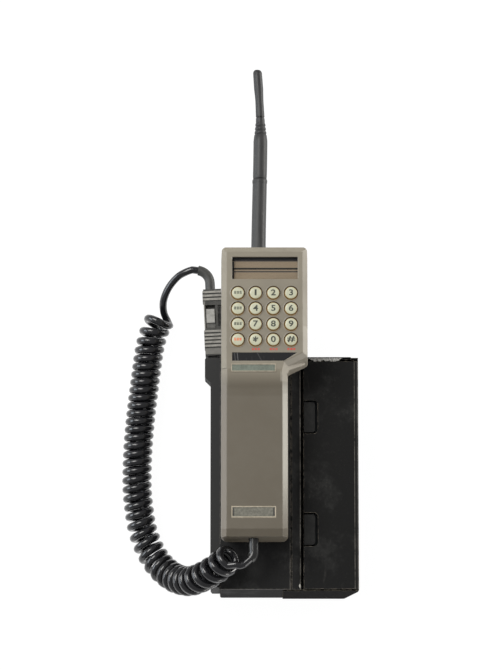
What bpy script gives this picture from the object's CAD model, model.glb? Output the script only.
import bpy
import bmesh
import math
from mathutils import Matrix, Vector, noise


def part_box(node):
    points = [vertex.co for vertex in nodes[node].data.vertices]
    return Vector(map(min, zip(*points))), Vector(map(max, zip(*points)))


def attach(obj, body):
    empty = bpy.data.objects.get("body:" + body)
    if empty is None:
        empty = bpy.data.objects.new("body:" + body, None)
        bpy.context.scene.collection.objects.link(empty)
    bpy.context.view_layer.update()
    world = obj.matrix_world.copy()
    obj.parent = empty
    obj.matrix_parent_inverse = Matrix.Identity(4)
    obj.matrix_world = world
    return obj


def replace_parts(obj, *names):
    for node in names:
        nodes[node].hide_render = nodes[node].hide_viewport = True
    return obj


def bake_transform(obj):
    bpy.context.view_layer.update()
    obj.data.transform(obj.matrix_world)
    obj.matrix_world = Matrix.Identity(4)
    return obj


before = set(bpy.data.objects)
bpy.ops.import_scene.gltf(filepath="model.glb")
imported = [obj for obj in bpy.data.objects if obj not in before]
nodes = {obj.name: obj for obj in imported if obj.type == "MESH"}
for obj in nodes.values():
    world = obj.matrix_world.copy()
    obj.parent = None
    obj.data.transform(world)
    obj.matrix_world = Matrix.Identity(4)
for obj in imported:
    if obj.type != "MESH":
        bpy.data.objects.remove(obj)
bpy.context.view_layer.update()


# ---------------------------------------------------------------- camera and table
# The telephone lies on its back on a pale table. The camera hangs above it and leans a
# little towards the lower end of the housings.

tub_low, tub_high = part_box("transceiver_case")
half_seam = 0.9


def mm(value):
    return value / 1000


def row(x, y, z):
    """A point of the drawing, in millimetres from the housings' seam, in the row frame."""
    return Vector((tub_high.x + mm(x + half_seam), tub_low.y + mm(y), mm(z)))


class Value:
    """A shader socket that takes part in Python sums."""

    def __init__(self, finish, socket):
        self.finish, self.socket = finish, socket

    def _sum(self, operation, *others):
        return self.finish.node("ShaderNodeMath", {"operation": operation},
                                dict(enumerate(others)))

    def __add__(self, other): return self._sum("ADD", self, other)
    def __radd__(self, other): return self._sum("ADD", other, self)
    def __sub__(self, other): return self._sum("SUBTRACT", self, other)
    def __rsub__(self, other): return self._sum("SUBTRACT", other, self)
    def __mul__(self, other): return self._sum("MULTIPLY", self, other)
    def __rmul__(self, other): return self._sum("MULTIPLY", other, self)
    def __truediv__(self, other): return self._sum("DIVIDE", self, other)

    def abs(self): return self._sum("ABSOLUTE", self)
    def max(self, other): return self._sum("MAXIMUM", self, other)
    def min(self, other): return self._sum("MINIMUM", self, other)
    def fraction(self): return self._sum("FRACT", self)
    def root(self): return self._sum("SQRT", self)

    def between(self, low, high, soft=0.12):
        """1 from low to high, 0 outside."""
        return self.step(low - soft, low + soft) * (1 - self.step(high - soft, high + soft))

    def step(self, low, high):
        """0 below low, 1 above high, and smooth between them."""
        return self.finish.node("ShaderNodeMapRange", {"interpolation_type": "SMOOTHSTEP"},
                                {0: self, 1: low, 2: high, 3: 0.0, 4: 1.0})


class Finish:
    """A surface finish: a node material whose constants sit on the shader's sockets."""

    def __init__(self, name, colour=(0.5, 0.5, 0.5), roughness=0.5, **constants):
        self.material = bpy.data.materials.new(name)
        self.material.use_nodes = True
        self.tree = self.material.node_tree
        self.shader = self.tree.nodes["Principled BSDF"]
        self.shader.inputs["Base Color"].default_value = (*colour, 1)
        self.shader.inputs["Roughness"].default_value = roughness
        for key, value in constants.items():
            self.shader.inputs[key.replace("_", " ").title().replace("Ior", "IOR")
                               ].default_value = value

    def _fill(self, node, sockets):
        """Links values to a node's sockets, and types numbers and colours into them."""
        for key, value in sockets.items():
            if isinstance(value, Value):
                self.tree.links.new(value.socket, node.inputs[key])
            elif isinstance(value, tuple) and len(value) == 3 and \
                    len(node.inputs[key].default_value) == 4:
                node.inputs[key].default_value = (*value, 1)
            else:
                node.inputs[key].default_value = value

    def node(self, kind, settings=None, sockets=None, out=0):
        """Adds a node of any kind and gives back one of its outputs."""
        node = self.tree.nodes.new(kind)
        for key, value in (settings or {}).items():
            setattr(node, key, value)
        self._fill(node, sockets or {})
        return Value(self, node.outputs[out])

    def feed(self, **sockets):
        """Links what changes over the surface to the shader."""
        self._fill(self.shader, {k.replace("_", " "): v for k, v in sockets.items()})
        return self

    def place(self, scale=(1, 1, 1)):
        """Object coordinates in metres, stretched by scale."""
        spot = self.node("ShaderNodeTexCoord", out=3)
        if scale == (1, 1, 1):
            return spot
        return self.node("ShaderNodeVectorMath", {"operation": "MULTIPLY"},
                         {0: spot, 1: scale})

    def drawing(self):
        """Where a point is in the drawing: x, y and z in millimetres."""
        spot = self.node("ShaderNodeVectorMath", {"operation": "SUBTRACT"},
                         {0: self.place(), 1: row(0, 0, 0)})
        parts = self.tree.nodes.new("ShaderNodeSeparateXYZ")
        self._fill(parts, {0: spot})
        return [Value(self, part) * 1000 for part in parts.outputs]

    def noise(self, per_metre, detail=3.0, rough=0.5, stretch=(1, 1, 1)):
        return self.node("ShaderNodeTexNoise", {}, {
            "Vector": self.place(stretch), "Scale": per_metre, "Detail": detail,
            "Roughness": rough})

    def cells(self, per_metre):
        """The distance to the middle of the nearest cell of a pebble pattern."""
        return self.node("ShaderNodeTexVoronoi", {},
                         {"Vector": self.place(), "Scale": per_metre})

    def mix(self, share, a, b):
        """Colour a where share is 0 and colour b where it is 1."""
        node = self.tree.nodes.new("ShaderNodeMix")
        node.data_type = "RGBA"
        self._fill(node, {0: share, 6: a, 7: b})
        return Value(self, node.outputs[2])

    def bump(self, height, distance, strength=1.0, normal=None):
        """A normal that follows a relief of a height of distance, in metres."""
        sockets = {"Height": height, "Distance": distance, "Strength": strength}
        if normal is not None:
            sockets["Normal"] = normal
        return self.node("ShaderNodeBump", {}, sockets)

    def edges(self, radius):
        """1 along the sharp edges of a piece, 0 on its faces: where it wears first."""
        soft = self.node("ShaderNodeBevel", {"samples": 6}, {"Radius": radius})
        hard = self.node("ShaderNodeNewGeometry", out=1)
        along = self.node("ShaderNodeVectorMath", {"operation": "DOT_PRODUCT"},
                          {0: soft, 1: hard}, out=1)
        return 1 - along


view_from = row(-37.125, -361.096, 3009.765)
view_at = row(-37.125, 185.61, 60)
camera = bpy.data.objects.new("camera", bpy.data.cameras.new("camera"))
bpy.context.scene.collection.objects.link(camera)
camera.data.lens = 220.81
camera.data.sensor_width = 36
camera.data.clip_end = 20
lean = math.atan2(view_at.y - view_from.y, view_from.z - view_at.z)
camera.matrix_world = Matrix.Translation(view_from) @ Matrix.Rotation(lean, 4, "X")
bpy.context.scene.camera = camera
bpy.context.scene.view_settings.view_transform = "Standard"


def lamp(name, at, aim, size, watts, colour):
    """A rectangular lamp at one point, turned towards another."""
    data = bpy.data.lights.new(name, "AREA")
    data.shape = "RECTANGLE"
    data.size, data.size_y = size
    data.energy = watts
    data.color = colour
    obj = bpy.data.objects.new(name, data)
    facing = (Vector(aim) - Vector(at)).to_track_quat("-Z", "Y").to_matrix().to_4x4()
    obj.matrix_world = Matrix.Translation(at) @ facing
    bpy.context.scene.collection.objects.link(obj)


# Two softboxes light it from the left. Two low panels on the right brighten its edges.
lamp("softbox_upper_left", (-0.95, 0.7, 1.7), (0, 0, 0.05), (1.1, 1.1), 26, (1.0, 0.99, 0.96))
lamp("softbox_left", (-1.6, 0.1, 0.55), (0, 0, 0.05), (1.2, 0.7), 12, (0.86, 0.93, 1.0))
lamp("panel_right", (1.3, 0.52, 0.22), (0, 0.1, 0.09), (0.9, 0.42), 13, (1.0, 0.98, 0.94))
lamp("panel_lower_right", (0.95, -1.1, 0.3), (0, -0.1, 0.09), (0.5, 0.4), 3.2,
     (1.0, 0.98, 0.94))

world = bpy.data.worlds.new("studio")
bpy.context.scene.world = world
world.use_nodes = True
world.node_tree.nodes["Background"].inputs["Color"].default_value = (1, 1, 1, 1)
world.node_tree.nodes["Background"].inputs["Strength"].default_value = 0.32

# The table glows white to the camera and in reflections, and keeps a little shadow.
camera_ray, glossy_ray, transmission_ray = 0, 3, 6
table = Finish("table_white", (0.9, 0.9, 0.9), 0.9)
seen = table.node("ShaderNodeLightPath", out=camera_ray)
for ray in (glossy_ray, transmission_ray):
    seen = seen.max(table.node("ShaderNodeLightPath", out=ray))
glow = table.node("ShaderNodeEmission", {}, {"Color": (1, 1, 1), "Strength": 1.06})
output = table.tree.nodes["Material Output"]
both = table.node("ShaderNodeMixShader", {}, {0: seen * 0.92, 2: glow})
table.tree.links.new(table.shader.outputs[0], both.socket.node.inputs[1])
table.tree.links.new(both.socket, output.inputs["Surface"])

bm = bmesh.new()
bmesh.ops.create_grid(bm, x_segments=1, y_segments=1, size=9)
mesh = bpy.data.meshes.new("table")
bm.to_mesh(mesh)
floor = bpy.data.objects.new("table", mesh)
bpy.context.scene.collection.objects.link(floor)
floor.location = (0, 0, -0.0002)
mesh.materials.append(table.material)


# ---------------------------------------------------------------- curly cord
# One length of round black cord: a smooth lead from the plug, a tight right-handed coil
# down the table and up to the handset, and a short tail into the handset's relief. The
# route repeats the drawing's points.

cord_d = 5.5
curl_r = 8.3
curls = 39.5
curl_lean = [(0, 0.18), (205, 0.18), (262, -0.5)]
plug_tilt = math.radians(2.6)
plug_dir = Vector((-math.sin(plug_tilt), math.cos(plug_tilt), 0))
plug_side = Vector((math.cos(plug_tilt), math.sin(plug_tilt), 0))
plug_foot = Vector((-65.4, 171, 36))
hood_l = 52
relief_bend, relief_turn, relief_l, relief_off = 10, math.radians(80), 6, 0.6
relief_angle = plug_tilt + relief_turn
relief_root = plug_foot + plug_dir * hood_l + plug_side * relief_off
lead_dir = Vector((-math.sin(relief_angle), math.cos(relief_angle), 0))
lead_from = (relief_root + plug_dir * relief_l - relief_bend * plug_side
             + relief_bend * Vector((math.cos(relief_angle), math.sin(relief_angle), 0)))
gland = Vector((-35.1, 32.5, 78))
gland_out, gland_bend, gland_turn = 8.5, 7, math.radians(50)
tail_to = gland + Vector((gland_bend * (math.cos(gland_turn) - 1),
                          -gland_out - gland_bend * math.sin(gland_turn), 0))
tail_dir = Vector((math.sin(gland_turn), math.cos(gland_turn), 0))
lead = [(-85.2, 237.5, 35), (-91.4, 234.3, 32), (-98, 227.2, 27), (-101.9, 218.8, 20.5),
        (-101.9, 211.5, 13), (-99.2, 205.8, 8.4)]
spine = [(-104.2, 206.4, 11.3), (-106.9, 202.4, 11.3), (-109.3, 196, 11.2),
         (-111.3, 189, 11.2), (-113, 180, 11.2), (-114.7, 166.8, 11.2), (-116.9, 148.8, 11.2),
         (-118.9, 130.8, 11.2), (-120.4, 112.8, 11.2), (-121.1, 94.9, 11.2), (-121.1, 80, 11.2),
         (-120, 67.4, 11.2), (-117.3, 50.3, 11.2), (-112.4, 36.1, 12.2), (-106.2, 25, 15),
         (-98.5, 16, 21.5), (-89.7, 9.6, 32), (-80.4, 6.8, 46), (-70.4, 9, 59),
         (-61, 14, 66.5), (-55.2, 18, 69.5), (-51.2, 20.5, 71.5)]
tail = [(-48.3, 14.4, 78.3), (-44.9, 13.9, 78.1)]
pitch_shape = [(0, 9), (10, 8), (22, 6.5), (38, 5.85), (80, 5.85), (96, 6.1), (145, 6.5),
               (163, 7.7), (236, 7.7), (244, 8.6), (256, 8.6), (264, 7.5)]
end_lean = math.radians(30)


def fine_curve(points, steps):
    """A smooth curve through the points, with so many steps between neighbours."""
    p = [Vector(q) for q in points]
    fine = []
    for i in range(len(p) - 1):
        a, b, c, d = p[max(i - 1, 0)], p[i], p[i + 1], p[min(i + 2, len(p) - 1)]
        for k in range(steps):
            t = k / steps
            fine.append(0.5 * (2 * b + (c - a) * t + (2 * a - 5 * b + 4 * c - d) * t * t
                               + (3 * b - a - 3 * c + d) * t ** 3))
    return fine + [p[-1]]


def lookup(x, pairs):
    """The value at x on a broken line through pairs of x and value."""
    for (x0, y0), (x1, y1) in zip(pairs, pairs[1:]):
        if x <= x1:
            return y0 + (y1 - y0) * max(0, (x - x0) / (x1 - x0))
    return pairs[-1][1]


def carry(u, t):
    """u turned square to the direction t."""
    return (u - u.dot(t) * t).normalized()


# The coil's middle line, with its direction, its upward side, its length and the turns so
# far at each point.
line = fine_curve(spine, 12)
last = len(line) - 1
line_t = [(line[min(i + 1, last)] - line[max(i - 1, 0)]).normalized() for i in range(last + 1)]
line_u = [carry(Vector((0, 0, 1)), line_t[0])]
length_at, turns_at = [0.0], [0.0]
for i in range(1, last + 1):
    line_u.append(carry(line_u[-1], line_t[i]))
    gone = (line[i] - line[i - 1]).length
    length_at.append(length_at[-1] + gone)
    turns_at.append(turns_at[-1] + gone / lookup(length_at[-1], pitch_shape))
curl_at = [(w * curls / turns_at[-1], i) for i, w in enumerate(turns_at)]
end_up = carry(Vector((0, 0, 1)), line_t[last])
start_phase = (math.atan2(line_t[last].cross(line_u[last]).dot(end_up),
                          line_u[last].dot(end_up)) - 2 * math.pi * curls + end_lean)

# The cord's own line winds round that. Its curls lean along the coil.
helix = []
curl_points = 24
for k in range(round(curls * curl_points) + 1):
    c = k / curl_points
    f = lookup(c, curl_at)
    i = min(int(f), last - 1)
    g = f - i
    t = (line_t[i] * (1 - g) + line_t[i + 1] * g).normalized()
    u = carry(line_u[i] * (1 - g) + line_u[i + 1] * g, t)
    angle = start_phase + 2 * math.pi * c
    out = curl_r * (u * math.cos(angle) + t.cross(u) * math.sin(angle))
    gone = length_at[i] * (1 - g) + length_at[i + 1] * g
    helix.append(line[i] * (1 - g) + line[i + 1] * g + out
                 + lookup(gone, curl_lean) * out.z * t)
lead_line = fine_curve([lead_from + lead_dir * cord_d * 0.8] + lead + [helix[0]], 6)
tail_line = fine_curve([helix[-1]] + tail + [tail_to - tail_dir * cord_d], 6)
route = ([lead_from, lead_from + lead_dir * cord_d * 0.4] + lead_line[:-1] + helix
         + tail_line[1:] + [tail_to])
route = [row(*p) for p in route]


def piece_from(bm, name, finish, body=None, smooth=None):
    """Makes a finished object of a bmesh, with its finish, body and slot."""
    mesh = bpy.data.meshes.new(name)
    bm.to_mesh(mesh)
    bm.free()
    obj = bpy.data.objects.new(name, mesh)
    bpy.context.scene.collection.objects.link(obj)
    for f in finish if isinstance(finish, (list, tuple)) else [finish]:
        mesh.materials.append(f.material)
    if smooth is not None:
        mesh.shade_smooth()
        mesh.set_sharp_from_angle(angle=math.radians(smooth))
    if body:
        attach(obj, body)
    return obj


def tube_along(points, radii, sides, name):
    """A closed tube along a line of points, with a radius at each, as a bmesh."""
    data = bpy.data.curves.new(name, "CURVE")
    data.dimensions = "3D"
    data.bevel_depth = 1
    data.bevel_resolution = sides // 4 - 1
    data.use_fill_caps = True
    spline = data.splines.new("POLY")
    spline.points.add(len(points) - 1)
    for spot, p, r in zip(spline.points, points, radii):
        spot.co = (*p, 1)
        spot.radius = r
    obj = bpy.data.objects.new(name, data)
    bm = bmesh.new()
    mesh = bpy.data.meshes.new_from_object(obj)
    bm.from_mesh(mesh)
    bmesh.ops.remove_doubles(bm, verts=bm.verts, dist=1e-6)
    bmesh.ops.recalc_face_normals(bm, faces=bm.faces)
    bpy.data.objects.remove(obj)
    return bm


cord_finish = Finish("cord_gloss_black", (0.012, 0.012, 0.014), 0.2, coat_weight=0.4,
                     coat_roughness=0.1)
dust = cord_finish.noise(90, 4, 0.6).step(0.5, 0.8)
cord_finish.feed(Roughness=dust * 0.1 + 0.2,
                 Base_Color=cord_finish.mix(dust * 0.5, (0.010, 0.010, 0.012),
                                            (0.022, 0.022, 0.024)))
cord = piece_from(tube_along(route, [mm(cord_d) / 2] * len(route), 16, "cord_route"),
                  "curly_cord_skin", cord_finish, None, 60)
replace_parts(cord, "curly_cord")
row(-95, 12, 20)
row(-52, 12, 20)
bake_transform(cord)
cord_length = sum((b - a).length for a, b in zip(route, route[1:]))
mm(cord_d)


# ---------------------------------------------------------------- transceiver housing
# A tub with a front cover, covered all over in black leather cloth with a fine pebble
# grain. The cloth has rubbed through to a pale brown along the edges.

def leather(name, tone, wear=1.0, creases=(), gloss=0.14):
    """Leather cloth of a dark tone, with worn edges and a gloss.

    Each crease is (x, width, share) of a pale worn line along y.
    """
    cloth = Finish(name, (tone, tone, tone), 0.55, specular_ior_level=gloss)
    x, y, z = cloth.drawing()
    grain = cloth.cells(1500).min(1.0)
    folds = cloth.noise(620, 4, 0.6)
    patches = cloth.noise(22, 5, 0.7).step(0.5, 0.78)
    specks = cloth.noise(700, 3, 0.7).step(0.62, 0.70)
    scratches = cloth.noise(46, 6, 0.75, (1, 0.22, 1)).step(0.60, 0.72)
    base = cloth.mix(patches, (tone * 0.8, tone * 0.8, tone * 0.8),
                     (tone * 3.2, tone * 3.2, tone * 3.1))
    base = cloth.mix(scratches * 0.5, base, (tone * 4.5, tone * 4.3, tone * 4))
    base = cloth.mix(specks * (patches + 0.25) * 0.5, base, (0.085, 0.08, 0.072))
    rubbed = (cloth.edges(mm(0.6)) * 5).min(1.0)
    chewed = rubbed * cloth.noise(230, 5, 0.75).step(0.42, 0.58) * wear
    base = cloth.mix(chewed.min(1.0), base, (0.25, 0.22, 0.18))
    for at, width, share in creases:
        line = (x - at).abs().step(width / 2, width / 2 + 0.25)
        broken = cloth.noise(120, 5, 0.75, (0.2, 1, 1)).step(0.30, 0.62) * share
        base = cloth.mix((1 - line) * broken, base, (0.30, 0.28, 0.25))
    return cloth.feed(Base_Color=base, Roughness=0.6 - patches * 0.12 + chewed.min(1.0) * 0.2,
                      Normal=cloth.bump(grain * 0.7 + folds * 0.5, mm(0.16), 0.5))


def dress(finish, *names):
    """Gives CAD nodes a finish. Their shape stays."""
    for name in names:
        nodes[name].data.materials.clear()
        nodes[name].data.materials.append(finish.material)


dress(leather("leather_transceiver", 0.009, gloss=0.02), "transceiver_case")
dress(leather("leather_cover", 0.016, 1.3, [(-1.2, 0.6, 0.9), (-8.9, 0.3, 0.3)], 0.2),
      "front_cover")

# A chip in the covering at the lower end of the seam shows the pale board beneath.
chip_finish = Finish("bare_board", (0.6, 0.57, 0.5), 0.8)
fibres = chip_finish.noise(900, 4, 0.7)
chip_finish.feed(Base_Color=chip_finish.mix(fibres, (0.45, 0.42, 0.36), (0.75, 0.73, 0.68)),
                 Normal=chip_finish.bump(fibres, mm(0.2), 0.6))


def raise_faces(bm, height):
    """Gives the flat faces of a bmesh a thickness upwards."""
    rise = bmesh.ops.extrude_face_region(bm, geom=bm.faces[:])["geom"]
    bmesh.ops.translate(bm, vec=(0, 0, height),
                        verts=[v for v in rise if isinstance(v, bmesh.types.BMVert)])
    bmesh.ops.recalc_face_normals(bm, faces=bm.faces)


chip_at = Vector((-1.75, 2.5, 51.0))
chip_long, chip_wide, chip_rise = 3.6, 1.3, 0.12
bm = bmesh.new()
bmesh.ops.create_circle(bm, cap_ends=True, segments=18, radius=1)
for v in bm.verts:
    ragged = 0.8 + 0.4 * noise.noise(v.co * 1.7 + Vector((chip_at.x, chip_at.y, 0)))
    v.co = Vector((v.co.x * chip_wide * ragged / 2, v.co.y * chip_long * ragged / 2, 0))
raise_faces(bm, chip_rise)
bmesh.ops.scale(bm, vec=(0.001, 0.001, 0.001), verts=bm.verts)
bmesh.ops.translate(bm, vec=row(*chip_at), verts=bm.verts)
piece_from(bm, "chip_seam", chip_finish, "case")

# ---------------------------------------------------------------- battery housing
# The narrower housing for the battery, with the same covering. Its door is a flat panel
# whose right edge is rolled round the hinge.

dress(leather("leather_battery", 0.008, gloss=0.02), "battery_case")
dress(leather("leather_door", 0.013, 1.3, [(38.3, 0.3, 0.4), (40.9, 0.4, 0.5)]),
      "battery_door")

# Two dull catch tabs show through the finger notches of the door.
tab_grey = Finish("catch_grey", (0.03, 0.03, 0.03), 0.5, specular_ior_level=0.2)
rough_tab = tab_grey.noise(300, 4, 0.6)
tab_grey.feed(Base_Color=tab_grey.mix(rough_tab.step(0.4, 0.7), (0.018, 0.018, 0.018),
                                      (0.028, 0.028, 0.027)),
              Normal=tab_grey.bump(tab_grey.noise(900, 3), mm(0.06), 0.4),
              Roughness=rough_tab * 0.3 + 0.35)
dress(tab_grey, "door_catches")

# A cap moulded in black plastic closes the housing's lower end.
cap_plastic = Finish("end_cap_black", (0.012, 0.012, 0.011), 0.75, specular_ior_level=0.015)
rub = cap_plastic.noise(60, 5, 0.7).step(0.45, 0.75)
worn = (cap_plastic.edges(mm(0.5)) * 5).min(1.0) * cap_plastic.noise(300, 3).step(0.35, 0.55)
shade = cap_plastic.mix(rub, (0.009, 0.009, 0.009), (0.028, 0.026, 0.024))
cap_plastic.feed(Base_Color=cap_plastic.mix(worn, shade, (0.33, 0.30, 0.22)),
                 Roughness=0.75 + rub * 0.15,
                 Normal=cap_plastic.bump(cap_plastic.noise(500, 3), mm(0.1), 0.3))
dress(cap_plastic, "battery_end_cap")

# The cloth lining has torn along the upper end of the door and shows as a white fringe.
lining = Finish("torn_lining", (0.72, 0.71, 0.68), 0.9)
threads = lining.noise(1400, 4, 0.7, (1, 0.4, 1))
lining.feed(Base_Color=lining.mix(threads, (0.30, 0.29, 0.27), (0.85, 0.84, 0.82)),
            Normal=lining.bump(threads, mm(0.25), 0.8))
lining_x0, lining_x1, lining_top, lining_z = 4.6, 29.8, 171.0, 50.7
bm = bmesh.new()
bmesh.ops.create_grid(bm, x_segments=90, y_segments=6, size=0.5)
for v in bm.verts:
    across, along = v.co.x + 0.5, v.co.y + 0.5
    x = lining_x0 + across * (lining_x1 - lining_x0)
    torn = 2.1 + 1.5 * noise.noise((x * 0.35, 3, 0)) + 1.0 * noise.noise((x * 1.9, 7, 0))
    torn *= min(1, 6 * across, 6 * (1 - across))
    edge_y = lining_top - 0.9 + 0.8 * noise.noise((x * 1.1, 12, 0))
    lift = 0.5 * noise.noise((x * 0.8, along * 3, 5))
    v.co = row(x, edge_y - (1 - along) * max(torn, 0.15), lining_z + lift)
bmesh.ops.solidify(bm, geom=bm.faces[:], thickness=mm(0.25))
bmesh.ops.recalc_face_normals(bm, faces=bm.faces)
piece_from(bm, "torn_lining", lining, "case", 60)

# ---------------------------------------------------------------- connector rail
# A rail moulded in black grained plastic and screwed down the left side of the housing.
# The plug goes into the socket in its upper end.

rail_plastic = Finish("rail_black", (0.026, 0.027, 0.028), 0.65, specular_ior_level=0.2)
scuff = rail_plastic.noise(70, 5, 0.7, (1, 0.3, 1)).step(0.55, 0.8)
worn = (rail_plastic.edges(mm(0.5)) * 5).min(1.0) * rail_plastic.noise(200, 3).step(0.5, 0.7)
shade = rail_plastic.mix(scuff * 0.4, (0.040, 0.0395, 0.039), (0.08, 0.077, 0.072))
rail_plastic.feed(Base_Color=rail_plastic.mix(worn * 0.7, shade, (0.2, 0.18, 0.15)),
                  Roughness=0.68 - scuff * 0.12,
                  Normal=rail_plastic.bump(rail_plastic.noise(1100, 4, 0.7), mm(0.1), 0.6))
dress(rail_plastic, "connector_rail")

# Plain black plastic: the socket, the cradle, the plug's nose and the small inserts.
black_plastic = Finish("black_plastic", (0.014, 0.014, 0.014), 0.42)
black_plastic.feed(Roughness=black_plastic.noise(260, 3) * 0.25 + 0.32,
                   Normal=black_plastic.bump(black_plastic.noise(1200, 2), mm(0.04), 0.3))
dress(black_plastic, "rail_socket", "cradle_plate", "cradle_saddle", "plug_nose",
      "earpiece", "microphone", "mouthpiece_ring")

# ---------------------------------------------------------------- plug
# A ribbed hood moulded in grey plastic: the tops of the ribs are rubbed pale and dirt has
# settled between them. A pale latch slides in its bed, beside a ribbed finger grip.

hood_top = 43.5


def plug_frame(finish):
    """Across, along and up the plug, in millimetres from the middle of the rail's end."""
    x, y, z = finish.drawing()
    x, y = x - plug_foot.x, y - plug_foot.y
    return (x * math.cos(plug_tilt) + y * math.sin(plug_tilt),
            y * math.cos(plug_tilt) - x * math.sin(plug_tilt), z)


hood_grey = Finish("hood_grey", (0.2, 0.195, 0.18), 0.5)
across, along, up = plug_frame(hood_grey)
grime = hood_grey.noise(170, 5, 0.7)
rib_top = up.step(hood_top + 0.12, hood_top + 0.5)
side_rail = (1 - across.step(-4.4, -3.7)) * along.between(22, 43, 0.5) * up.step(42.6, 43.2)
pale = hood_grey.mix(grime.step(0.35, 0.7), (0.37, 0.355, 0.32), (0.22, 0.21, 0.19))
dark = hood_grey.mix(grime.step(0.3, 0.7), (0.030, 0.029, 0.027), (0.07, 0.068, 0.062))
shade = hood_grey.mix(rib_top.max(side_rail), dark, pale)
worn = (hood_grey.edges(mm(0.35)) * 4).min(1.0)
hood_grey.feed(Base_Color=hood_grey.mix(worn * rib_top * 0.5, shade, (0.46, 0.44, 0.40)),
               Roughness=0.42 + grime * 0.2,
               Normal=hood_grey.bump(hood_grey.noise(900, 3), mm(0.06), 0.4))
dress(hood_grey, "plug_hood")

latch_grey = Finish("latch_grey", (0.34, 0.33, 0.3), 0.45)
across, along, up = plug_frame(latch_grey)
smear = latch_grey.noise(260, 5, 0.7)
thumb = up.step(43.05, 43.35)
bed = latch_grey.mix(smear.step(0.35, 0.65), (0.13, 0.125, 0.115), (0.075, 0.073, 0.068))
shade = latch_grey.mix(smear.step(0.4, 0.7), (0.42, 0.41, 0.385), (0.28, 0.275, 0.255))
shade = latch_grey.mix(thumb, bed, shade)
rust = latch_grey.noise(500, 3, 0.6).step(0.68, 0.72)
latch_grey.feed(Base_Color=latch_grey.mix(rust, shade, (0.36, 0.20, 0.11)),
                Normal=latch_grey.bump(latch_grey.noise(800, 3), mm(0.08), 0.5))
dress(latch_grey, "plug_latch")

# Fourteen thin ribs beside the latch, for the finger that frees the plug.
grip_finish = Finish("plug_grip", (0.045, 0.044, 0.042), 0.5)
grip_finish.feed(Base_Color=grip_finish.mix(grip_finish.noise(400, 4).step(0.4, 0.7),
                                            (0.032, 0.032, 0.031), (0.085, 0.083, 0.078)))
grip_x0, grip_x1, grip_y0, grip_z = 5.7, 8.3, 25.0, 42.1
grip_ribs, grip_step, rib_wide, rib_tall = 14, 1.0, 0.55, 1.3
plug_turn = (Matrix.Translation(row(*plug_foot) - Vector((0, 0, mm(plug_foot.z))))
             @ Matrix.Rotation(plug_tilt, 4, "Z"))
bm = bmesh.new()
for k in range(grip_ribs):
    rib = bmesh.ops.create_cube(bm, size=1)["verts"]
    bmesh.ops.scale(bm, vec=(mm(grip_x1 - grip_x0), mm(rib_wide), mm(rib_tall)), verts=rib)
    bmesh.ops.translate(bm, vec=(mm((grip_x0 + grip_x1) / 2),
                                 mm(grip_y0 + 0.3 + k * grip_step), mm(grip_z + 0.6)),
                        verts=rib)
bmesh.ops.bevel(bm, geom=bm.edges[:], offset=mm(0.12), offset_type="OFFSET", segments=1,
                profile=0.5, affect="EDGES", material=-1)
bmesh.ops.transform(bm, matrix=plug_turn, verts=bm.verts)
piece_from(bm, "plug_grip_ribs", grip_finish, "case")

# The cord leaves the hood through a short bent sleeve of matt grey rubber.
relief_grey = Finish("relief_grey", (0.045, 0.045, 0.044), 0.5)
relief_grey.feed(Normal=relief_grey.bump(relief_grey.noise(500, 3), mm(0.08), 0.3),
                 Base_Color=relief_grey.mix(relief_grey.noise(120, 4), (0.036, 0.037, 0.036),
                                            (0.062, 0.062, 0.058)),
                 Roughness=relief_grey.noise(200, 3) * 0.2 + 0.42)
dress(relief_grey, "plug_relief")

# ---------------------------------------------------------------- aerial
# A black rubber sleeve over the aerial's lower half, a dark joint ring, and a thinner
# sheath that tapers to a slim end above it. The whip has taken a slight bend with age.

aerial_x, aerial_z = -31.58, 26
sleeve_y0, sleeve_y1, ring_y, tip_y = 174, 306.6, 309.6, 393
bend_curve = [(p.x, p.y) for p in fine_curve(
    [(171, 0, 0), (215, 0, 0), (258, 0, 0), (300, 0.8, 0), (324, 1.3, 0), (348, 1.5, 0),
     (366, 0.9, 0), (384, -0.2, 0), (394, -0.9, 0)], 6)]

aerial_black = Finish("aerial_rubber", (0.05, 0.05, 0.05), 0.48, specular_ior_level=0.4)
x, y, z = aerial_black.drawing()
haze = aerial_black.noise(90, 5, 0.7, (1, 0.2, 1)).step(0.35, 0.75)
grooves = y.between(309.1, 310.3, 0.2).max(y.between(355.9, 357.4, 0.2))
shade = aerial_black.mix(haze, (0.030, 0.030, 0.031), (0.062, 0.062, 0.061))
rub = aerial_black.noise(160, 5, 0.75, (1, 0.35, 1)).step(0.62, 0.78)
shade = aerial_black.mix(rub * 0.5, shade, (0.17, 0.165, 0.155))
aerial_black.feed(Base_Color=aerial_black.mix(grooves * 0.9, shade, (0.008, 0.008, 0.008)),
                  Roughness=0.42 + haze * 0.14,
                  Normal=aerial_black.bump(aerial_black.noise(700, 3), mm(0.08), 0.35))


def spun(outline, centre, axis):
    """Spins an outline of points full circle round an axis through centre."""
    bm = bmesh.new()
    points = [bm.verts.new(p) for p in outline]
    for a, b in zip(points, points[1:]):
        bm.edges.new((a, b))
    bmesh.ops.spin(bm, geom=bm.verts[:] + bm.edges[:], cent=centre, axis=axis,
                   angle=2 * math.pi, steps=40, use_merge=True)
    bmesh.ops.remove_doubles(bm, verts=bm.verts, dist=1e-6)
    bmesh.ops.recalc_face_normals(bm, faces=bm.faces)
    return bm


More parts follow.
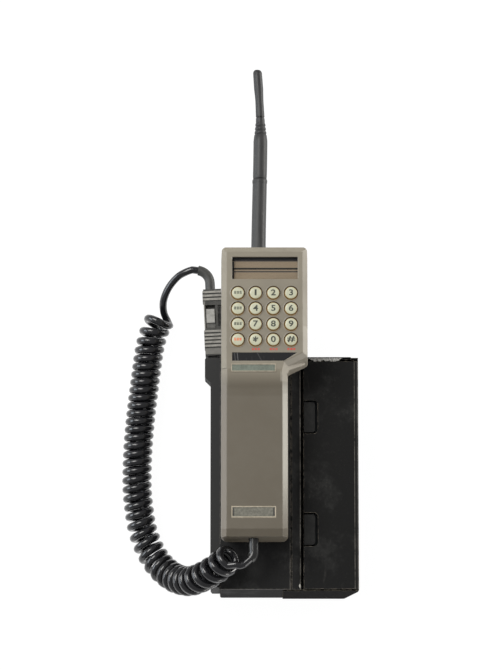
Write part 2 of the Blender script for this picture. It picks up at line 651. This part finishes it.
def turned_bent(name, profile, node):
    """Spins a profile of (radius, y) round the aerial's line and bends it sideways."""
    fine = []
    for (r0, y0), (r1, y1) in zip(profile, profile[1:]):
        cuts = max(1, round(abs(y1 - y0) / 4))
        fine += [(r0 + (r1 - r0) * k / cuts, y0 + (y1 - y0) * k / cuts) for k in range(cuts)]
    fine.append(profile[-1])
    bm = spun([row(aerial_x + r, y, aerial_z) for r, y in fine],
              row(aerial_x, 0, aerial_z), (0, 1, 0))
    for v in bm.verts:
        v.co.x += mm(lookup((v.co.y - tub_low.y) * 1000, bend_curve))
    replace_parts(piece_from(bm, name, aerial_black, "case", 35), node)


# Above the whip's thick part there are three shallow ripples, a neck and the slim end.
ripples = []
for k in range(3):
    y, r = ring_y + 34.4 + 3 * k, 4.4 - 0.3 * k
    ripples += [(r - 0.35, y), (r - 0.05, y + 0.3), (r + 0.05, y + 0.8), (r - 0.05, y + 1.6),
                (r - 0.45, y + 2.4)]
neck_y, neck_r = ring_y + 46.5, 3.35
turned_bent("aerial_sleeve_bent", [(0, sleeve_y0), (5.9, sleeve_y0), (5.9, 182), (5.75, 184),
            (5.5, 186), (5.4, 240), (5.3, sleeve_y1), (0, sleeve_y1)], "aerial_sleeve")
turned_bent("aerial_ring_bent", [(0, sleeve_y1), (5.5, sleeve_y1), (5.6, 308.6),
            (5.1, ring_y), (0, ring_y)], "aerial_ring")
turned_bent("aerial_whip_bent", [(0, ring_y), (4.9, ring_y), (5.1, ring_y + 1),
            (5.2, ring_y + 3), (5.2, ring_y + 29), (4.7, ring_y + 33.4), *ripples,
            (neck_r, neck_y - 2), (neck_r - 0.1, neck_y), (neck_r - 0.5, neck_y + 0.2),
            (neck_r - 0.5, neck_y + 0.9), (neck_r - 0.1, neck_y + 1.1),
            (neck_r - 0.3, neck_y + 14), (neck_r, tip_y - 16), (neck_r + 0.1, tip_y - 14),
            (neck_r, tip_y - 2), (neck_r - 0.5, tip_y - 0.8), (neck_r - 1.2, tip_y),
            (1.2, tip_y), (1.0, tip_y - 0.6), (0, tip_y - 0.8)], "aerial_whip")

# The aerial screws into a turned brass socket, and the battery's contacts match it.
brass = Finish("turned_brass", (0.72, 0.55, 0.25), 0.3, metallic=1.0)
brass.feed(Roughness=brass.noise(400, 2, 0.5, (1, 6, 1)) * 0.25 + 0.2)
dress(brass, "aerial_socket", "battery_contacts")

# ---------------------------------------------------------------- handset shells
# Two shells of painted grey-brown plastic. The paint on the grip is darker with use, and
# the edges are polished by the hand.

grip_end, head_start = 141, 155
pad_left, pad_upper, pitch_x, pitch_y = -46.6, 210.2, 12.8, 11.45

paint = Finish("shell_taupe", (0.25, 0.22, 0.18), 0.42)
x, y, z = paint.drawing()
head = y.step(grip_end, head_start)
dirt = paint.noise(38, 5, 0.65).step(0.35, 0.75)
specks = paint.noise(520, 4, 0.7).step(0.66, 0.74)
base = paint.mix(head, (0.132, 0.112, 0.081), (0.275, 0.243, 0.186))
base = paint.mix(dirt * 0.3, base, (0.170, 0.150, 0.118))
base = paint.mix(specks * 0.25, base, (0.10, 0.088, 0.07))
polished = (paint.edges(mm(1.6)) * 3).min(1.0)
base = paint.mix(polished * 0.4, base, (0.40, 0.365, 0.31))

# The hand has polished the grip's long edges and the shoulder pale.
palm_edge = x.step(-14.9, -13.9) * y.between(60, 152, 30) * (1 - head)
base = paint.mix(palm_edge * 0.6, base, (0.62, 0.60, 0.53))
finger_edge = (1 - x.step(-55.4, -54.4)) * (1 - head)
base = paint.mix(finger_edge * 0.2, base, (0.42, 0.37, 0.33))
shoulder = x.step(-16.5, -15.5) * y.between(146, 186, 1) * (1 - z.step(93.3, 93.9))
base = paint.mix(shoulder * 0.4, base, (0.52, 0.48, 0.41))
scuffs = paint.noise(90, 6, 0.75).step(0.66, 0.72) * (1 - head)
base = paint.mix(scuffs * 0.25, base, (0.30, 0.27, 0.22))

# A brown ring of old glue shows round each key.
key_out_x, key_out_y = 6, 5.5
across = ((x - pad_left) / pitch_x + 0.5).fraction() * pitch_x - pitch_x / 2
along = ((y - pad_upper) / pitch_y + 0.5).fraction() * pitch_y - pitch_y / 2
pad = (x.between(pad_left - key_out_x, pad_left + 3 * pitch_x + key_out_x)
       * y.between(pad_upper - 3 * pitch_y - key_out_y, pad_upper + key_out_y)
       * z.step(93, 93.4))
ring = pad * (1 - (across * across + along * along).root().step(5.15, 5.4))
glue = paint.mix((along + across * 0.4).step(-3.5, 1.5), (0.30, 0.175, 0.06),
                 (0.045, 0.034, 0.022))
base = paint.mix(ring, base, glue)

# Edges catch the light softly, and the slope from head to grip runs smooth.
soft = paint.node("ShaderNodeBevel", {"samples": 6}, {"Radius": mm(0.7)})
flow = paint.node("ShaderNodeBevel", {"samples": 8}, {"Radius": mm(4)})
soft = paint.mix(y.between(135, 153, 2) * x.between(-53, -17, 1), soft, flow)
paint.feed(Base_Color=base,
           Roughness=0.46 - head * 0.04 - polished * 0.22 + dirt * 0.08,
           Normal=paint.bump(paint.noise(1400, 2), mm(0.05), 0.3, soft))
dress(paint, "handset_front", "handset_rear")

# The strain relief where the cord enters is a short bent spout of glossy rubber.
hook_grey = Finish("hook_gloss", (0.05, 0.05, 0.048), 0.25)
hook_grey.feed(Roughness=hook_grey.noise(200, 3) * 0.1 + 0.14,
               Base_Color=hook_grey.mix(hook_grey.noise(200, 3), (0.016, 0.016, 0.016),
                                        (0.030, 0.030, 0.029)))
dress(hook_grey, "handset_relief")

# ---------------------------------------------------------------- display and windows
# A clear window lies under the face, and under it a brown card with two read-out strips.
# A smoked window shows the status lamps.

display_card = Finish("display_beige", (0.40, 0.31, 0.22), 0.7)
x, y, z = display_card.drawing()

# Dark margins above and at the left, a thin line under the upper one, and a black gap with
# a grey line under it between the two strips.
card_top, card_left = 236.9, -50.7
down = card_top - y
inward = x - card_left
weave = display_card.noise(2600, 2, 0.5, (1, 3, 1))
card = display_card.mix(weave * 0.5, (0.38, 0.295, 0.20), (0.31, 0.24, 0.16))
margins = (1 - down.step(2.3, 2.7)).max(1 - inward.step(1.1, 1.5))
card = display_card.mix(margins, card, (0.018, 0.018, 0.02))
card = display_card.mix(down.between(7.5, 8.8), card, (0.008, 0.008, 0.008))
card = display_card.mix(down.between(9.8, 10.8), card, (0.07, 0.062, 0.055))
card = display_card.mix(down.between(2.5, 3.1), card, (0.20, 0.16, 0.12))
display_card.feed(Base_Color=card)
dress(display_card, "display_module")

clear = Finish("window_clear", (0.02, 0.02, 0.02), 0.06, alpha=0.08)
clear.feed(Roughness=clear.noise(300, 3) * 0.06)
dress(clear, "display_window")

smoked = Finish("status_smoked", (0.012, 0.012, 0.012), 0.14)
x, y, z = smoked.drawing()
scratch = smoked.noise(260, 5, 0.7, (6, 0.4, 1)).step(0.60, 0.75)
streak = (x + 0.1 * y).between(-30.6, -30.2).max((x + 0.1 * y).between(-32.6, -32.2) * 0.6)
slash = (x + 0.55 * y).between(58.6, 59.0) * 0.5
shade = smoked.mix((scratch * 0.5).max(streak).max(slash), (0.016, 0.016, 0.017),
                   (0.16, 0.16, 0.158))
smoked.feed(Base_Color=shade, Roughness=scratch * 0.4 + 0.14)
dress(smoked, "status_window")

# ---------------------------------------------------------------- plate and label
# Two shallow recesses in the face, each with a thin pale frame. Both are left blank.

plate_green = Finish("plate_green", (0.19, 0.215, 0.175), 0.4)
grit = plate_green.noise(420, 5, 0.75)
chips = plate_green.noise(330, 3, 0.6).step(0.70, 0.72)
shade = plate_green.mix(grit.step(0.3, 0.7), (0.13, 0.15, 0.12), (0.21, 0.24, 0.195))
plate_green.feed(Base_Color=plate_green.mix(chips, shade, (0.62, 0.60, 0.55)),
                 Normal=plate_green.bump(grit, mm(0.08), 0.5))
dress(plate_green, "name_plate")

label_grey = Finish("label_grey", (0.2, 0.195, 0.16), 0.35)
x, y, z = label_grey.drawing()
ends = (1 - x.step(-49.6, -48.9)).max(x.step(-21.6, -20.9)) * y.between(48.3, 54.1, 0.3)
grit = label_grey.noise(500, 5, 0.75)
shade = label_grey.mix(grit.step(0.4, 0.65), (0.15, 0.145, 0.118), (0.235, 0.225, 0.185))
label_grey.feed(Base_Color=label_grey.mix(ends * 0.85, shade, (0.035, 0.035, 0.034)),
                Roughness=grit * 0.3 + 0.2, Normal=label_grey.bump(grit, mm(0.08), 0.5))
dress(label_grey, "label_window")

# Thin frames painted in a pale beige.
frame_beige = Finish("frame_beige", (0.36, 0.31, 0.22), 0.4)
frame_beige.feed(Base_Color=frame_beige.mix(frame_beige.noise(300, 4, 0.7).step(0.35, 0.7),
                                            (0.54, 0.47, 0.36), (0.36, 0.31, 0.23)))
frame_rise = 0.35


def pale_frame(name, x0, x1, y0, y1, z, width):
    """A thin raised frame round a recess in the handset's face."""
    bm = bmesh.new()
    bmesh.ops.create_grid(bm, x_segments=1, y_segments=1, size=0.5)
    bmesh.ops.scale(bm, vec=(mm(x1 - x0), mm(y1 - y0), 1), verts=bm.verts)
    centre = row((x0 + x1) / 2, (y0 + y1) / 2, z)
    bmesh.ops.translate(bm, vec=centre, verts=bm.verts)
    bmesh.ops.inset_region(bm, faces=bm.faces[:], thickness=mm(width),
                           use_boundary=True, use_even_offset=True)
    middle = [f for f in bm.faces if (f.calc_center_median() - centre).length < 1e-6]
    bmesh.ops.delete(bm, geom=middle, context="FACES_ONLY")
    raise_faces(bm, mm(frame_rise))
    return piece_from(bm, name, frame_beige, "handset")


pale_frame("label_frame", -51.2, -19.2, 47.0, 55.4, 89.8, 0.8)
pale_frame("plate_frame", -51.4, -19.3, 152.6, 158.3, 93.8, 0.55)

# ---------------------------------------------------------------- keys
# Each key is an ivory cap on an amber skirt that shows as a rim round it. The digits, the
# star and the hash are printed; the other keys have plain marks.

face_z, key_top, flange_z, flange_t = 94, 95.2, 90.6, 1.3
key_r, cap_r, flange_r, mark_rise = 4.6, 4.05, 5.4, 0.03
skirt_top = face_z + 0.6
mark_bar, mark_step = (1.5, 2.1), 1.95
red_bar, red_step, red_y = (1.5, 1.6), 2.1, 169.0

ivory = Finish("key_ivory", (0.55, 0.545, 0.40), 0.35)
stain = ivory.noise(240, 4, 0.6).step(0.4, 0.8)
ivory.feed(Base_Color=ivory.mix(stain, (0.60, 0.60, 0.445), (0.50, 0.49, 0.345)),
           Roughness=stain * 0.2 + 0.3)
amber = Finish("key_amber", (0.3, 0.18, 0.06), 0.4)
amber.feed(Base_Color=amber.mix(amber.noise(500, 4, 0.7), (0.24, 0.13, 0.04),
                                (0.48, 0.33, 0.13)))


def ink(name, fresh, worn, low=0.4, high=0.7):
    """Printing ink that has worn in patches."""
    ink = Finish(name, fresh, 0.5)
    return ink.feed(Base_Color=ink.mix(ink.noise(900, 3).step(low, high), fresh, worn))


print_grey = ink("print_grey", (0.035, 0.040, 0.032), (0.12, 0.125, 0.10), 0.45, 0.75)
print_pale = ink("print_pale", (0.15, 0.16, 0.12), (0.28, 0.285, 0.21))
print_orange = ink("print_orange", (0.78, 0.24, 0.12), (0.80, 0.40, 0.26))
print_red = ink("print_red", (0.60, 0.07, 0.05), (0.48, 0.14, 0.10))


def bars(name, x, y, z, size, step, finish, body):
    """A plain printed mark: three short bars side by side."""
    bm = bmesh.new()
    for k in (-1, 0, 1):
        bar = bmesh.ops.create_cube(bm, size=1)["verts"]
        bmesh.ops.scale(bm, vec=(mm(size[0]), mm(size[1]), mm(2 * mark_rise)), verts=bar)
        bmesh.ops.translate(bm, vec=row(x + k * step, y, z), verts=bar)
    return piece_from(bm, name, finish, body)


glyph_size, glyph_swell = 6.0, 0.13
glyph_stretch = {"*": (1.5, 1.35), "#": (1.5, 1), "1": (1.6, 1)}


def printed(name, character, x, y, z, finish, body):
    """A printed character, as a flat mesh with its middle at the given point."""
    text = bpy.data.curves.new(name, "FONT")
    text.body, text.size, text.extrude, text.offset = (character, glyph_size, mark_rise,
                                                       glyph_swell)
    flat = bpy.data.objects.new(name, text)
    bm = bmesh.new()
    bm.from_mesh(bpy.data.meshes.new_from_object(flat))
    bpy.data.objects.remove(flat)
    low = [min(v.co[i] for v in bm.verts) for i in (0, 1)]
    high = [max(v.co[i] for v in bm.verts) for i in (0, 1)]
    bmesh.ops.translate(bm, vec=(-(low[0] + high[0]) / 2, -(low[1] + high[1]) / 2, 0),
                        verts=bm.verts)
    wide, tall = glyph_stretch.get(character, (1.2, 1))
    bmesh.ops.scale(bm, vec=(mm(wide), mm(tall), mm(1)), verts=bm.verts)
    bmesh.ops.translate(bm, vec=row(x, y, z), verts=bm.verts)
    bmesh.ops.remove_doubles(bm, verts=bm.verts, dist=1e-7)
    return piece_from(bm, name, finish, body)


key_rows = [["key_send", "key_1", "key_2", "key_3"],
            ["key_clear", "key_4", "key_5", "key_6"],
            ["key_end", "key_7", "key_8", "key_9"],
            ["key_recall", "key_star", "key_0", "key_hash"]]
key_profile = [(0, flange_z), (flange_r, flange_z), (flange_r, flange_z + flange_t),
               (key_r, flange_z + flange_t), (key_r, face_z - 0.1),
               (key_r - 0.12, face_z + 0.3), (cap_r + 0.1, face_z + 0.5),
               (cap_r + 0.04, face_z + 0.9), (cap_r - 0.18, key_top - 0.13),
               (cap_r - 0.5, key_top - 0.06), (2.4, key_top), (0, key_top)]
signs = {"key_star": "*", "key_hash": "#"}
for j, names in enumerate(key_rows):
    for i, name in enumerate(names):
        x, y = pad_left + pitch_x * i, pad_upper - pitch_y * j
        bm = spun([row(x + r, y, z) for r, z in key_profile], row(x, y, 0), (0, 0, 1))
        for f in bm.faces:
            f.material_index = int(f.calc_center_median().z < mm(skirt_top))
        cap = piece_from(bm, name + "_cap", [ivory, amber], name, 40)
        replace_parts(cap, name)
        if i == 0:
            bars(name + "_mark", x, y + 0.2, key_top + mark_rise / 2, mark_bar, mark_step,
                 print_orange if name == "key_recall" else print_pale, name)
        else:
            printed(name + "_sign", signs.get(name, name[-1]), x, y + 0.25,
                    key_top + mark_rise / 2, print_grey, name)
for i in (1, 2, 3):
    bars("red_mark_%d" % i, pad_left + pitch_x * i + 0.2, red_y, face_z, red_bar, red_step,
         print_red, "handset")

# ---------------------------------------------------------------- insides
# Inside the housings and the handset are green circuit boards, a cast alloy chassis, plated
# steel cans, a pin and screws, a shrink-wrapped battery block and a rubber key mat.

mask_green = Finish("board_green", (0.03, 0.14, 0.05), 0.4)
mask_green.feed(Base_Color=mask_green.mix(mask_green.noise(300, 4).step(0.45, 0.55),
                                          (0.02, 0.11, 0.04), (0.05, 0.2, 0.08)))
dress(mask_green, "rf_board", "handset_board")

cast = Finish("cast_alloy", (0.45, 0.45, 0.45), 0.5, metallic=1.0)
cast.feed(Normal=cast.bump(cast.noise(500, 4), mm(0.1), 0.5),
          Roughness=cast.noise(200, 3) * 0.3 + 0.35)
dress(cast, "rf_chassis")

plated = Finish("plated_steel", (0.6, 0.6, 0.57), 0.3, metallic=1.0)
plated.feed(Roughness=plated.noise(400, 3, 0.5, (1, 8, 1)) * 0.25 + 0.2)
dress(plated, "duplexer", "screening_can", "hinge_pin", "case_screws", "handset_screws")

cell_case = Finish("battery_shrink", (0.06, 0.07, 0.08), 0.45)
cell_case.feed(Roughness=cell_case.noise(160, 3) * 0.3 + 0.3)
dress(cell_case, "battery_block")

mat_rubber = Finish("mat_rubber", (0.5, 0.48, 0.42), 0.6)
mat_rubber.feed(Roughness=mat_rubber.noise(160, 3) * 0.2 + 0.5)
dress(mat_rubber, "key_mat")
